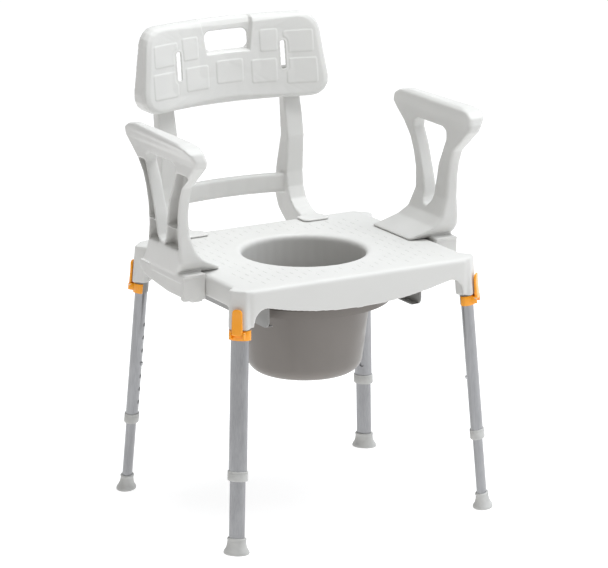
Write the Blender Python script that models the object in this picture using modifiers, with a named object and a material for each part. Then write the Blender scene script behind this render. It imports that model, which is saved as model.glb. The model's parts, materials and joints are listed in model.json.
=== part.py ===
"""Commode chair: a moulded seat on four height-adjustable legs, with lift-off arms and backrest.

Metres, +Z up, the sitter faces -Y.  Every size is a named value below, and the heights and places
of what fits together are worked out from the seat's.  A moving piece is parented to an empty on
its joint's axis, and the whole chair hangs from one empty that centres it in Y.
"""
import math

import bmesh
import bpy
from mathutils import Matrix, Vector

# ---- clearances ------------------------------------------------------------------------------
GAP = 0.0003            # between pieces that touch
SLIDE_GAP = 0.0005      # around pieces that slide or lift out
OVERRUN = 0.1           # how far a cutter runs past what it cuts
BITE = 0.0005           # how far joined shapes reach into each other
HAIR = 0.0001             # keeps two joined faces out of one plane

# ---- overall sizes ---------------------------------------------------------------------------
SEAT_HEIGHT = 0.475     # top of the seat above the floor
SEAT_WIDTH = 0.480
SEAT_LENGTH = 0.415
SEAT_SETBACK = 0.0025   # middle of the seat, behind the middle of the four feet
HALF_WIDTH = SEAT_WIDTH / 2
SEAT_FRONT = SEAT_SETBACK - SEAT_LENGTH / 2
SEAT_REAR = SEAT_SETBACK + SEAT_LENGTH / 2

# ---- seat ------------------------------------------------------------------------------------
SEAT_WALL = 0.004
SEAT_CORNER = 0.022     # corner radius in plan
SEAT_EDGE = 0.009       # rounding of the top edge
SKIRT_DEPTH = 0.038     # side and rear skirt, down from the seat top
APRON_DEPTH = 0.061     # front apron at its lowest, in the middle
APRON_RISE = 0.0245     # how much the apron's lower edge climbs towards the legs
ARCH_RADIUS = 0.024     # arch between the skirt and each leg socket
ARCH_INSET = 0.045      # the arches start this far in from the leg axes
SKIRT_REACH = 0.012     # how far in from the seat's edge a skirt's lower edge is trimmed
HOLE_RADIUS = 0.113     # opening in the seat
HOLE_Y = -0.002         # its centre
SPLASH_DEPTH = 0.055    # splash wall below the opening, from the seat top
RIM_ROUND = 0.010       # rolled edge of the opening

# ---- legs, whose heights are distances along the leg axis --------------------------------------
LEG_TOP_DROP = 0.0904                        # the axis enters the socket this far below the seat top
TOP_X = HALF_WIDTH - 0.0040                  # leg axis at that height
TOP_Y = SEAT_LENGTH / 2 - 0.0210
SPLAY_X, SPLAY_Y = 0.0230, 0.0255            # how much further out the axis meets the floor
TOP_Z = SEAT_HEIGHT - LEG_TOP_DROP
LEG_TOP = Vector((SPLAY_X, SPLAY_Y, TOP_Z)).length
TUBE_WALL = 0.0013
TUBE_PLAY = 0.0009                           # between the inner tube and the outer tube
UPPER_OVAL = (0.0220, 0.0330)                # outer tube, across and along the corner's face
LOWER_OVAL = tuple(size - 2 * (TUBE_WALL + TUBE_PLAY) for size in UPPER_OVAL)
UPPER_TOP = LEG_TOP + 0.0639
UPPER_LENGTH = 0.3140
UPPER_END = UPPER_TOP - UPPER_LENGTH
COLLAR = (UPPER_END - 0.0035, UPPER_END + 0.0145)
COLLAR_WALL = 0.0021
COLLAR_CHAMFER = (0.0012, 0.0008)            # up the leg, and inwards
HOLE_PITCH = 0.025                           # height steps
HOLE_STEPS = 3                               # holes either side of the one in use
HOLE_SIDES = 10
BUTTON_AT = UPPER_END + 0.1115               # snap button
BUTTON_RADIUS = 0.0036
BUTTON_STAND = 0.0030                        # how far the button stands out of the outer tube
BUTTON_INSIDE = 0.0030                       # how far it reaches inside the inner tube
LOWER_TOP = BUTTON_AT + 0.0185
LOWER_END = 0.0090
SPRING_STRIP = 0.0006                        # leaf spring behind the button: thickness
SPRING_WIDTH = 0.0080
SPRING_LENGTH = 0.0450
SPRING_TIP = 0.0050                          # how far its ends run past the button's axis
FOOT_WALL = 0.0026                           # rubber round the tube at the foot's neck
FOOT_FLARE = 0.0093                          # and at its base
FOOT_HEIGHT = 0.0290
FOOT_RINGS = ((0.004, 1.0), (0.010, 0.35), (0.018, 0.08), (FOOT_HEIGHT, 0.0))   # height, share of flare
FOOT_LEVEL = 0.010                           # above this the rings stand square to the leg

# ---- leg sockets and their clips -----------------------------------------------------------------
SLEEVE_WALL = 0.0012
SLEEVE = (LEG_TOP + 0.0005, LEG_TOP + 0.0674)
COLUMN_DROP = 0.0710                         # underside of the socket column, below the seat top
COLUMN_HEAD = 0.0190                         # top of its bore, below the seat top
COLUMN_WALL_IN, COLUMN_WALL_OUT, COLUMN_WALL_SIDE = 0.0042, 0.0020, 0.0010
COLUMN_ROUND = 0.0070
BAND = (LEG_TOP + 0.0001, LEG_TOP + 0.0176)  # clip band
BAND_WALL = 0.0022
BAND_OPEN = -0.0075                          # the band stops here on the inward side
LEVER_SIZE = (0.0060, 0.0200, 0.0470)        # thickness, width, height
LEVER_CORNER = 0.0047
LEVER_PIVOT = LEG_TOP + 0.0127
LEVER_ROOM = 0.0009                          # lets the lever's heel turn past the band
LUG_THICK = 0.0032
LUG_HEEL = 0.0030                            # plastic round the pin
PIN_RADIUS = 0.0013

# ---- bucket and its runners ----------------------------------------------------------------------
BUCKET_RADIUS = HOLE_RADIUS + 0.0070         # under the flange
BUCKET_TAPER = 0.0140                        # how much narrower the bottom is
BUCKET_FOOT_ROUND = 0.026
BUCKET_DEPTH = 0.1520
BUCKET_WALL = 0.0028
BUCKET_Y = HOLE_Y - 0.0030
BUCKET_SIDES = 36
FLANGE_HIGH = SEAT_HEIGHT - SPLASH_DEPTH - 0.0160
FLANGE_LOW = FLANGE_HIGH - 0.0171
FLANGE_RADIUS = BUCKET_RADIUS + 0.0450
FLANGE_FLAT = BUCKET_RADIUS + 0.0335         # the flange is cut flat at the runners
FLANGE_Y = HOLE_Y + 0.0100
RUNNER_FRONT, RUNNER_REAR = SEAT_FRONT + 0.0530, SEAT_REAR - 0.0450
RUNNER_PLAY = 0.0030    # between the flange's flats and the runners
RUNNER_WALL = 0.0030
RUNNER_LIP = 0.0110
RUNNER_FLANGE = 0.0160  # the flange that is screwed to the seat
RUNNER_NOSE = 0.0140    # rounding of the lip's front corner
RUNNER_SCREW_INSET = 0.0300
SCREW_RADIUS = 0.0019
SCREW_HEAD = 0.0042
SCREW_CROWN = 0.0024
SCREW_DOME = ((0.0, 1.0), (0.6, 0.9), (1.0, 0.4))     # share of the head's radius, share of its crown
SCREW_SIDES = 10

# ---- arms: X is outwards from the seat's side, heights are above the seat top --------------------
ARM_LEVELS = [
    # height, front, rear, inner face, outer face
    (0.0006, -0.046, 0.088, -0.0440, 0.0470),
    (0.0050, -0.050, 0.084, -0.0410, 0.0480),
    (0.0130, -0.060, 0.074, -0.0260, 0.0490),
    (0.0250, -0.068, 0.064, -0.0020, 0.0505),
    (0.0410, -0.068, 0.054, 0.0140, 0.0520),
    (0.0750, -0.063, 0.048, 0.0260, 0.0530),
    (0.1130, -0.064, 0.051, 0.0280, 0.0530),
    (0.1420, -0.070, 0.059, 0.0280, 0.0530),
    (0.1660, -0.080, 0.070, 0.0280, 0.0530),
    (0.1920, -0.111, 0.093, 0.0280, 0.0530),
    (0.2110, -0.133, 0.118, 0.0280, 0.0540),
    (0.2230, -0.137, 0.134, 0.0290, 0.0570),
    (0.2370, -0.132, 0.136, 0.0325, 0.0660),
    (0.2460, -0.118, 0.120, 0.0335, 0.0715),
    (0.2510, -0.095, 0.095, 0.0400, 0.0660),
]
ARM_TAIL = 0.9          # share of the pad's outward flare lost at its rear tip
ARM_FLARE_FROM = 0.053  # outer face of the blade, from which the pad flares
ARM_CORNER = 0.006
ARM_WALL = 0.0040
ARM_WEB = 0.0880        # stiffening web across the hollow side
ARM_POCKETS = (0.0500, 0.1900)   # the hollow side's lowest and highest
WINDOW_FRONT = [(0.052, -0.007), (0.063, -0.018), (0.105, -0.025), (0.134, -0.031), (0.186, -0.057),
                (0.201, -0.056), (0.207, -0.044)]
WINDOW_REAR = [(0.054, 0.003), (0.063, 0.010), (0.097, 0.018), (0.156, 0.039), (0.187, 0.055),
               (0.201, 0.054), (0.207, 0.042)]
SOCKET_OUT = 0.0235     # how far the arm socket stands out from the seat side
SOCKET_FRONT, SOCKET_REAR = -0.060, 0.140
SOCKET_HIGH, SOCKET_LOW = -0.0142, -0.0510
# from its rear, above its low
SOCKET_UNDERSIDE = ((0.110, 0.0), (0.075, 0.004), (0.030, 0.010), (0.0, 0.0248))
PRONG = (0.0090, 0.0200)             # the two prongs that drop into the socket, X by Y
PRONG_OUT = 0.01375                  # their middle, out from the seat side
PRONG_Y = (-0.020, 0.028)
PRONG_LOW, PRONG_HIGH = -0.0450, 0.0150
SKIRT_OUT = 0.0460                   # the arm's skirts outside the seat: outer face
SKIRT_HIGH = 0.0040
BLADE_SKIRT = (-0.066, 0.052, SOCKET_HIGH + 0.0007)               # front, rear, lower edge
FRONT_SKIRT = (-0.088, SOCKET_FRONT - SLIDE_GAP, -0.0440)

# ---- backrest: Y is behind the seat's rear edge, heights are above the seat top ------------------
UPRIGHT_X = 0.134                    # middle of each upright
UPRIGHT_WIDTH = 0.037
UPRIGHT_WALL = 0.0040
FRONT_LINE = [(0.0040, 0.000), (0.0120, 0.022), (0.0265, 0.040), (0.0480, 0.050), (0.0750, 0.053),
              (0.1455, 0.049), (0.1850, 0.056), (0.2150, 0.064), (0.2750, 0.073)]
REAR_LINE = [(-0.0210, 0.0570), (-0.0108, 0.0720), (0.0024, 0.0870), (0.0245, 0.0975), (0.0550, 0.0980),
             (0.0820, 0.0940), (0.1455, 0.0770), (0.2150, 0.0830), (0.2750, 0.0890)]
CHANNEL = (0.0200, 0.1850)           # the uprights are open behind between these heights
TONGUE_X, TONGUE_WIDTH = 0.1285, 0.056
TONGUE_FRONT, TONGUE_REAR = -0.0440, -0.0040
TONGUE_THICK = 0.0042
TONGUE_NOSE = 0.0030                 # thickness of the uprights' own toe on the seat
TONGUE_ROUND = 0.010
PEG = (0.0140, 0.0260)               # locating peg under each tongue, X by Y
PEG_Y = -0.0220
PEG_LOW = -0.0350
CROSSBAR = (0.0350, 0.0720)          # lower and upper edge
CROSSBAR_Y = 0.0750
CROSSBAR_THICK = 0.0180
CROSSBAR_BOW = 0.0160                # the bar's ends stand this much further forward
CROSSBAR_ROUND = 0.0050
CROSSBAR_STEPS = 6
PANEL_LOW = SEAT_HEIGHT + 0.2200
PANEL_HIGH = PANEL_LOW + 0.1580
PANEL_HALF_LOW, PANEL_HALF_HIGH = 0.2020, 0.1830
PANEL_CORNER = 0.034
PANEL_ROUND = 0.014
PANEL_DEPTH = 0.050
PANEL_TAPER = 0.022                  # the edge is this much shallower at the top
PANEL_RINGS = (0.66, 0.33)           # rings of the face, as shares of its outline
PANEL_WALL = 0.0035
PANEL_BEND = 0.570                   # radius of the panel's curve round the sitter
PANEL_Y = SEAT_REAR + 0.0560         # front face at mid-width, at the panel's lower edge
PANEL_LEAN = 0.125                   # rearward lean, per metre of height
PANEL_STEP = 0.035                   # spacing of the points along the panel's edge
BOSS_Z = (PANEL_LOW + 0.0180, PANEL_LOW + 0.0430)   # screw bosses between panel and upright
BOSS_RADIUS = 0.0060
BOSS_GRIP = 0.0060                   # how deep a screw's hole is in its boss
BOSS_GAP = 0.0012                    # between a boss and the sloping upright
SLOT_X, SLOT_Z, SLOT_HEIGHT, SLOT_WIDTH = 0.110, PANEL_LOW + 0.0820, 0.052, 0.008
GRIP_Z, GRIP_HEIGHT, GRIP_WIDTH = PANEL_HIGH - 0.0400, 0.036, 0.090
GRIP_ROUND = 0.012

CORNERS = {"front_left": (-1, -1), "front_right": (1, -1), "rear_left": (-1, 1), "rear_right": (1, 1)}
SIDES = {"left": -1, "right": 1}

COLOURS = {
    # base colour, roughness, metallic
    "white_plastic": ((0.78, 0.80, 0.80), 0.42, 0.0),
    "grey_plastic": ((0.46, 0.45, 0.43), 0.45, 0.0),
    "bucket_plastic": ((0.20, 0.19, 0.18), 0.40, 0.0),
    "orange_plastic": ((0.95, 0.36, 0.03), 0.35, 0.0),
    "anodised_aluminium": ((0.42, 0.42, 0.44), 0.34, 0.9),
    "foot_rubber": ((0.62, 0.62, 0.60), 0.70, 0.0),
    "steel": ((0.55, 0.55, 0.57), 0.30, 1.0),
}


# ---- scene and objects ---------------------------------------------------------------------------
def start_scene():
    for old in list(bpy.data.objects):
        bpy.data.objects.remove(old, do_unlink=True)
    made = []
    for name in ("commode_chair", "cutters"):
        made.append(bpy.data.collections.new(name))
        bpy.context.scene.collection.children.link(made[-1])
    return made


PARTS, TOOLS = start_scene()
CHAIR = bpy.data.objects.new("chair", None)
PARTS.objects.link(CHAIR)


def empty(name, matrix, parent=CHAIR):
    made = bpy.data.objects.new(name, None)
    PARTS.objects.link(made)
    made.parent = parent
    made.matrix_local = matrix
    return made


BACKREST = empty("backrest_axis", Matrix.Translation((0.0, SEAT_REAR, SEAT_HEIGHT)))


def material(finish, name):
    """A Principled material of its own for each piece, in one of the chair's finishes."""
    colour, rough, metal = COLOURS[finish]
    made = bpy.data.materials.new(f"{name}_{finish}")
    made.use_nodes = True
    shader = made.node_tree.nodes["Principled BSDF"]
    shader.inputs["Base Color"].default_value = (*colour, 1.0)
    shader.inputs["Roughness"].default_value = rough
    shader.inputs["Metallic"].default_value = metal
    return made


def piece(name, mesh, finish, parent=CHAIR):
    """A part of the chair in the parts collection."""
    mesh.materials.append(material(finish, name))
    made = bpy.data.objects.new(name, mesh)
    PARTS.objects.link(made)
    made.parent = parent
    return made


def combine(target, mesh, operation="DIFFERENCE", place=(0.0, 0.0, 0.0), solver="EXACT"):
    """Cut a shape out of a part, or join it on; the shape shares the part's parent."""
    other = bpy.data.objects.new(mesh.name, mesh)
    TOOLS.objects.link(other)
    other.parent = target.parent
    other.location = place
    other.hide_render = True
    other.display_type = "WIRE"
    step = target.modifiers.new(mesh.name, "BOOLEAN")
    step.object = other
    step.operation = operation
    step.solver = solver


def round_edges(target, width, segments=2, angle=40.0):
    step = target.modifiers.new("round", "BEVEL")
    step.width = width
    step.segments = segments
    step.limit_method = "ANGLE"
    step.angle_limit = math.radians(angle)


def thicken(target, wall):
    """A wall behind an open surface."""
    step = target.modifiers.new("wall", "SOLIDIFY")
    step.thickness = wall
    step.offset = -1.0
    step.use_even_offset = True


# ---- outlines ------------------------------------------------------------------------------------
def oval(sizes, count=16):
    """Points round an oval with the given full sizes in X and Y."""
    turn = [2 * math.pi * k / count for k in range(count)]
    return [Vector((sizes[0] / 2 * math.cos(a), sizes[1] / 2 * math.sin(a))) for a in turn]


def widen(sizes, margin):
    return tuple(size + 2 * margin for size in sizes)


def rectangle(x0, x1, y0, y1):
    return [(x0, y0), (x1, y0), (x1, y1), (x0, y1)]


def rounded(corners, radius, steps=3):
    """A convex outline with the same radius at each of its corners."""
    points = []
    for k, here in enumerate(corners):
        here = Vector(here)
        before = (Vector(corners[k - 1]) - here).normalized()
        after = (Vector(corners[(k + 1) % len(corners)]) - here).normalized()
        half = before.angle(after) / 2
        reach = radius / math.tan(half)
        centre = here + (before + after).normalized() * (radius / math.sin(half))
        start = here + before * reach - centre
        sweep = start.angle_signed(here + after * reach - centre)
        for step in range(steps + 1):
            points.append(centre + Matrix.Rotation(-sweep * step / steps, 2) @ start)
    return points


def quarter(steps=4):
    """Angles from 0 to 90 degrees, for quarter-round profiles."""
    return [math.pi / 2 * k / steps for k in range(steps + 1)]


def line_at(line, height):
    """Where a line of (height, place) points is at a height; straight between them, flat beyond."""
    if height <= line[0][0]:
        return line[0][1]
    for (z0, y0), (z1, y1) in zip(line, line[1:]):
        if height <= z1:
            return y0 + (y1 - y0) * (height - z0) / (z1 - z0)
    return line[-1][1]


def ribbon(path, thickness):
    """The outline of a strip of even thickness along a path in a plane."""
    left, right = [], []
    for k, here in enumerate(path):
        along = Vector(path[min(k + 1, len(path) - 1)]) - Vector(path[max(k - 1, 0)])
        across = Vector((-along.y, along.x)).normalized() * thickness / 2
        left.append(Vector(here) + across)
        right.append(Vector(here) - across)
    return left + right[::-1]


def span(side, near, far):
    """Two distances from the middle, as X limits on one side of the chair."""
    return sorted((side * near, side * far))


# ---- solids --------------------------------------------------------------------------------------
def mesh_from(bm, name, smooth=35.0):
    bmesh.ops.recalc_face_normals(bm, faces=bm.faces)
    mesh = bpy.data.meshes.new(name)
    bm.to_mesh(mesh)
    bm.free()
    mesh.shade_smooth()
    mesh.set_sharp_from_angle(angle=math.radians(smooth))
    return mesh


def skin_rings(bm, rings):
    """Faces between neighbouring rings of equal length; gives the rings' vertices."""
    levels = [[bm.verts.new(point) for point in ring] for ring in rings]
    for low, high in zip(levels, levels[1:]):
        for k in range(len(low)):
            nxt = (k + 1) % len(low)
            bm.faces.new((low[k], low[nxt], high[nxt], high[k]))
    return levels


def loft(name, rings, smooth=35.0):
    """A closed solid through rings of equal length, capped at both ends."""
    bm = bmesh.new()
    levels = skin_rings(bm, rings)
    bm.faces.new(levels[0])
    bm.faces.new(levels[-1])
    return mesh_from(bm, name, smooth)


def prism(name, outline, low, high, axes="XYZ", smooth=35.0):
    """An outline pushed from low to high; axes says where its two directions and depth point."""
    rings = []
    for depth in (low, high):
        spots = [dict(zip(axes, (point[0], point[1], depth))) for point in outline]
        rings.append([Vector((spot["X"], spot["Y"], spot["Z"])) for spot in spots])
    return loft(name, rings, smooth)


def oval_bar(name, stations, smooth=50.0):
    """A bar along Z through (height, oval sizes) stations."""
    rings = []
    for height, sizes in stations:
        rings.append([Vector((p.x, p.y, height)) for p in oval(sizes)])
    return loft(name, rings, smooth)


def block(name, low, high):
    """A plain box between two corners."""
    bm = bmesh.new()
    bmesh.ops.create_cube(bm, size=1.0)
    size = Vector(high) - Vector(low)
    middle = Matrix.Translation((Vector(high) + Vector(low)) / 2)
    bmesh.ops.transform(bm, matrix=middle @ Matrix.Diagonal((*size, 1.0)), verts=bm.verts)
    return mesh_from(bm, name)


def rod(name, radius, start, end, count=HOLE_SIDES):
    """A round bar between two points."""
    start, end = Vector(start), Vector(end)
    bm = bmesh.new()
    bmesh.ops.create_cone(bm, cap_ends=True, segments=count, radius1=radius, radius2=radius,
                          depth=(end - start).length)
    turn = (end - start).to_track_quat("Z", "Y").to_matrix().to_4x4()
    bmesh.ops.transform(bm, matrix=Matrix.Translation((start + end) / 2) @ turn, verts=bm.verts)
    return mesh_from(bm, name)


def turned(name, profile, count):
    """A solid of revolution round Z from a closed (radius, height) profile."""
    bm = bmesh.new()
    rings = []
    for k in range(count):
        a = 2 * math.pi * k / count
        rings.append([Vector((r * math.cos(a), r * math.sin(a), z)) for r, z in profile])
    levels = [[bm.verts.new(point) for point in ring] for ring in rings]
    for k, here in enumerate(levels):
        after = levels[(k + 1) % count]
        for j in range(len(profile)):
            nxt = (j + 1) % len(profile)
            bm.faces.new((here[j], here[nxt], after[nxt], after[j]))
    bmesh.ops.remove_doubles(bm, verts=bm.verts, dist=0.00001)
    return mesh_from(bm, name)


def tube(name, sizes, low, high, parent, count=16):
    """An oval tube along Z, open at both ends, with its wall inside the given sizes."""
    bm = bmesh.new()
    bmesh.ops.create_cone(bm, cap_ends=False, segments=count, radius1=0.5, radius2=0.5, depth=high - low)
    stretch = Matrix.Diagonal((*sizes, 1.0, 1.0))
    middle = Matrix.Translation((0, 0, (low + high) / 2))
    bmesh.ops.transform(bm, matrix=middle @ stretch, verts=bm.verts)
    made = piece(name, mesh_from(bm, name), "anodised_aluminium", parent)
    thicken(made, TUBE_WALL)
    return made


def screw(name, under_head, direction, shank, parent=CHAIR):
    """A pan-head screw: the head's underside at under_head, the shank along direction."""
    profile = [(SCREW_HEAD * across, -SCREW_CROWN * up) for across, up in SCREW_DOME]
    profile += [(SCREW_HEAD, 0.0), (SCREW_RADIUS, 0.0), (SCREW_RADIUS, shank), (0.0, shank)]
    made = piece(name, turned(name, profile, SCREW_SIDES), "steel", parent)
    made.location = under_head
    made.rotation_euler = Vector(direction).to_track_quat("Z", "Y").to_euler()


# ---- seat ----------------------------------------------------------------------------------------
def leg_matrix(side, end):
    """A leg's own frame: Z up the leg, X outwards along the corner's diagonal, origin on the floor."""
    low = Vector((side * (TOP_X + SPLAY_X), end * (TOP_Y + SPLAY_Y), 0.0))
    high = Vector((side * TOP_X, end * TOP_Y, TOP_Z))
    up = (high - low).normalized()
    out = Vector((side, end, 0.0)).normalized()
    out = (out - up * out.dot(up)).normalized()
    matrix = Matrix((out, up.cross(out), up)).transposed().to_4x4()
    matrix.translation = low
    return matrix


def sleeve_sizes():
    return widen(UPPER_OVAL, SLEEVE_WALL + GAP)


def column(name, outline, matrix, low, high):
    """A column along a leg's axis between two level planes, in the chair's frame."""
    up = matrix.col[2].to_3d()
    rings = []
    for height in (low, high):
        feet = [matrix @ Vector((point[0], point[1], 0.0)) for point in outline]
        rings.append([foot + up * ((height - foot.z) / up.z) for foot in feet])
    return loft(name, rings)


def skirt_window(name, reach, edge, axes, low, high, count):
    """The space under a skirt, between two legs: its top follows edge, and its upper corners are arches."""
    top = [(x, edge(x)) for x in (-reach + 2 * reach * k / (count - 1) for k in range(count))]
    left = [(-reach - ARCH_RADIUS * math.sin(a), top[0][1] - ARCH_RADIUS * (1 - math.cos(a)))
            for a in quarter(3)[:0:-1]]
    right = [(-x, z) for x, z in reversed(left)]
    floor = SEAT_HEIGHT - OVERRUN * 2
    return prism(name, left + top + right + [(right[-1][0], floor), (left[0][0], floor)], low, high, axes)


def apron_edge(x):
    """Lower edge of the front apron."""
    share = min(1.0, abs(x) / (TOP_X - ARCH_INSET))
    return SEAT_HEIGHT - APRON_DEPTH + APRON_RISE * share ** 2


def skirt_edge(_):
    """Lower edge of the side and rear skirts."""
    return SEAT_HEIGHT - SKIRT_DEPTH


def trim_skirts(seat):
    front = skirt_window("front_window", TOP_X - ARCH_INSET, apron_edge, "XZY",
                         SEAT_FRONT - OVERRUN, SEAT_FRONT + SKIRT_REACH, 9)
    combine(seat, front)
    rear = skirt_window("rear_window", TOP_X - ARCH_INSET, skirt_edge, "XZY",
                        SEAT_REAR - SKIRT_REACH, SEAT_REAR + OVERRUN, 2)
    combine(seat, rear)
    for name, side in SIDES.items():
        limits = span(side, HALF_WIDTH - SKIRT_REACH, HALF_WIDTH + OVERRUN)
        combine(seat, skirt_window(f"side_window_{name}", TOP_Y - ARCH_INSET, skirt_edge, "YZX", *limits, 2))


def seat_opening(seat):
    """The splash wall under the seat and the round opening with its rolled edge."""
    low, high = SEAT_HEIGHT - SPLASH_DEPTH, SEAT_HEIGHT - SEAT_WALL / 4
    wall = [(HOLE_RADIUS - BITE, low), (HOLE_RADIUS + SEAT_WALL, low), (HOLE_RADIUS + SEAT_WALL, high),
            (HOLE_RADIUS - BITE, high)]
    place = (0.0, HOLE_Y, 0.0)
    combine(seat, turned("splash_wall", wall, BUCKET_SIDES), "UNION", place)
    flare = [(0.0, low - SLIDE_GAP), (HOLE_RADIUS, low - SLIDE_GAP)]
    flare += [(HOLE_RADIUS + RIM_ROUND * (1 - math.cos(a)), SEAT_HEIGHT - RIM_ROUND * (1 - math.sin(a)))
              for a in quarter()]
    flare += [(HOLE_RADIUS + RIM_ROUND, SEAT_HEIGHT + OVERRUN), (0.0, SEAT_HEIGHT + OVERRUN)]
    combine(seat, turned("opening", flare, BUCKET_SIDES), place=place)


def build_seat():
    """The seat moulding: a hollow plate with skirts, four leg columns and a round splash wall."""
    low = SEAT_HEIGHT - COLUMN_DROP
    plan = rounded(rectangle(-HALF_WIDTH, HALF_WIDTH, SEAT_FRONT, SEAT_REAR), SEAT_CORNER)
    seat = piece("seat_shell", prism("seat_shell", plan, low, SEAT_HEIGHT), "white_plastic")
    round_edges(seat, SEAT_EDGE, 3)
    inner = rounded(rectangle(SEAT_WALL - HALF_WIDTH, HALF_WIDTH - SEAT_WALL, SEAT_FRONT + SEAT_WALL,
                              SEAT_REAR - SEAT_WALL), SEAT_CORNER - SEAT_WALL)
    combine(seat, prism("seat_hollow", inner, low - OVERRUN, SEAT_HEIGHT - SEAT_WALL))
    half_across, half_along = (size / 2 + GAP for size in sleeve_sizes())
    outline = rounded(rectangle(-half_across - COLUMN_WALL_IN, half_across + COLUMN_WALL_OUT,
                                -half_along - COLUMN_WALL_SIDE, half_along + COLUMN_WALL_SIDE), COLUMN_ROUND)
    for name, (side, end) in CORNERS.items():
        solid = column(f"column_{name}", outline, leg_matrix(side, end), low, SEAT_HEIGHT - BITE)
        combine(seat, solid, "UNION", solver="MANIFOLD")
    trim_skirts(seat)
    seat_opening(seat)
    for name, (side, end) in CORNERS.items():
        bore = column(f"bore_{name}", oval(widen(sleeve_sizes(), GAP)), leg_matrix(side, end),
                      low - OVERRUN, SEAT_HEIGHT - COLUMN_HEAD)
        combine(seat, bore)
    for name, side in SIDES.items():
        width, length = (size / 2 + SLIDE_GAP for size in PEG)
        x, y = side * UPRIGHT_X, SEAT_REAR + PEG_Y
        hole = block(f"peg_hole_{name}", (x - width, y - length, SEAT_HEIGHT - SEAT_WALL * 3),
                     (x + width, y + length, SEAT_HEIGHT + OVERRUN))
        combine(seat, hole)


def build_arm_sockets():
    """The rail on each side of the seat with two pockets for the arm's prongs."""
    high, low = SEAT_HEIGHT + SOCKET_HIGH, SEAT_HEIGHT + SOCKET_LOW
    outline = [(SOCKET_FRONT, low), (SOCKET_FRONT, high), (SOCKET_REAR, high)]
    outline += [(SOCKET_REAR - back, low + rise) for back, rise in reversed(SOCKET_UNDERSIDE)]
    for name, side in SIDES.items():
        limits = span(side, HALF_WIDTH + GAP, HALF_WIDTH + SOCKET_OUT)
        mesh = prism(f"arm_socket_{name}", outline, *limits, "YZX")
        socket = piece(f"arm_socket_{name}", mesh, "white_plastic")
        round_edges(socket, 0.002)
        width, length = (size / 2 + SLIDE_GAP for size in PRONG)
        x = side * (HALF_WIDTH + PRONG_OUT)
        for number, y in enumerate(PRONG_Y):
            pocket = block(f"pocket_{name}_{number}",
                           (x - width, y - length, SEAT_HEIGHT + PRONG_LOW - SLIDE_GAP * 4),
                           (x + width, y + length, high + OVERRUN))
            combine(socket, pocket)


# ---- legs ----------------------------------------------------------------------------------------
def foot_mesh(name, matrix):
    """A flared rubber foot whose base lies level on the floor, round a leg that leans."""
    up = matrix.row[2].to_3d()
    neck = widen(LOWER_OVAL, FOOT_WALL)
    rings = []
    for height, share in ((0.0, 1.0),) + FOOT_RINGS:
        tilt = 1.0 - min(1.0, height / FOOT_LEVEL)
        ring = oval(widen(neck, (FOOT_FLARE - FOOT_WALL) * share))
        rings.append([Vector((p.x, p.y, height - tilt * (up.x * p.x + up.y * p.y) / up.z)) for p in ring])
    return loft(name, rings, 50.0)


def build_button(name, leg):
    """The snap button and the leaf spring that holds it out."""
    inner_end = BUTTON_INSIDE + TUBE_WALL - LOWER_OVAL[0] / 2
    outer_end = -UPPER_OVAL[0] / 2 - BUTTON_STAND
    mesh = rod(f"snap_button_{name}", BUTTON_RADIUS, (outer_end, 0, BUTTON_AT), (inner_end, 0, BUTTON_AT))
    round_edges(piece(f"snap_button_{name}", mesh, "steel", leg), 0.0010)
    near = inner_end + GAP + SPRING_STRIP
    far = LOWER_OVAL[0] / 2 - TUBE_WALL - GAP - SPRING_STRIP
    bend = BUTTON_AT - SPRING_LENGTH
    path = [(near, BUTTON_AT + SPRING_TIP), (near, BUTTON_AT - SPRING_TIP * 2), (near + 0.0020, bend),
            (near + 0.0045, bend - 0.0010), (far, BUTTON_AT - SPRING_TIP * 4), (far, BUTTON_AT - SPRING_TIP)]
    half = SPRING_WIDTH / 2
    spring = prism(f"button_spring_{name}", ribbon(path, SPRING_STRIP), -half, half, "XZY")
    piece(f"button_spring_{name}", spring, "steel", leg)


def build_collar(name, leg):
    low, high = COLLAR
    rise, inset = COLLAR_CHAMFER
    full = widen(UPPER_OVAL, COLLAR_WALL)
    stations = ((low, widen(full, -inset)), (low + rise, full),
                (high - rise, full), (high, widen(full, -inset)))
    collar = piece(f"collar_{name}", oval_bar(f"collar_{name}", stations), "foot_rubber", leg)
    outer_bore = widen(UPPER_OVAL, GAP)
    inner_bore = widen(LOWER_OVAL, SLIDE_GAP)
    for tag, sizes, start in (("outer", outer_bore, UPPER_END - GAP), ("inner", inner_bore, low - OVERRUN)):
        cut = oval_bar(f"collar_bore_{tag}_{name}", ((start, sizes), (high + OVERRUN, sizes)))
        combine(collar, cut)


def build_leg(name, side, end):
    """One leg: outer tube in the socket, inner tube with foot, collar and snap button."""
    matrix = leg_matrix(side, end)
    leg = empty(f"{name}_leg_axis", matrix)
    hole_radius = BUTTON_RADIUS + SLIDE_GAP
    upper = tube(f"upper_tube_{name}", UPPER_OVAL, UPPER_END, UPPER_TOP, leg)
    outer_face, inner_face = UPPER_OVAL[0] / 2, LOWER_OVAL[0] / 2
    through = TUBE_WALL * 2
    for step in range(-HOLE_STEPS, HOLE_STEPS + 1):
        height = BUTTON_AT + step * HOLE_PITCH
        hole = rod(f"height_hole_{name}_{step + HOLE_STEPS}", hole_radius,
                   (-outer_face - through, 0, height), (-outer_face + through, 0, height))
        combine(upper, hole)
    lower = tube(f"lower_tube_{name}", LOWER_OVAL, LOWER_END, LOWER_TOP, leg)
    combine(lower, rod(f"button_hole_{name}", hole_radius, (-inner_face - through, 0, BUTTON_AT),
                       (-inner_face + through, 0, BUTTON_AT)))
    build_button(name, leg)
    build_collar(name, leg)
    foot = piece(f"foot_{name}", foot_mesh(f"foot_{name}", matrix), "foot_rubber", leg)
    bore = widen(LOWER_OVAL, GAP)
    combine(foot, oval_bar(f"foot_bore_{name}", ((LOWER_END - GAP, bore), (LOWER_END + OVERRUN, bore))))


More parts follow.
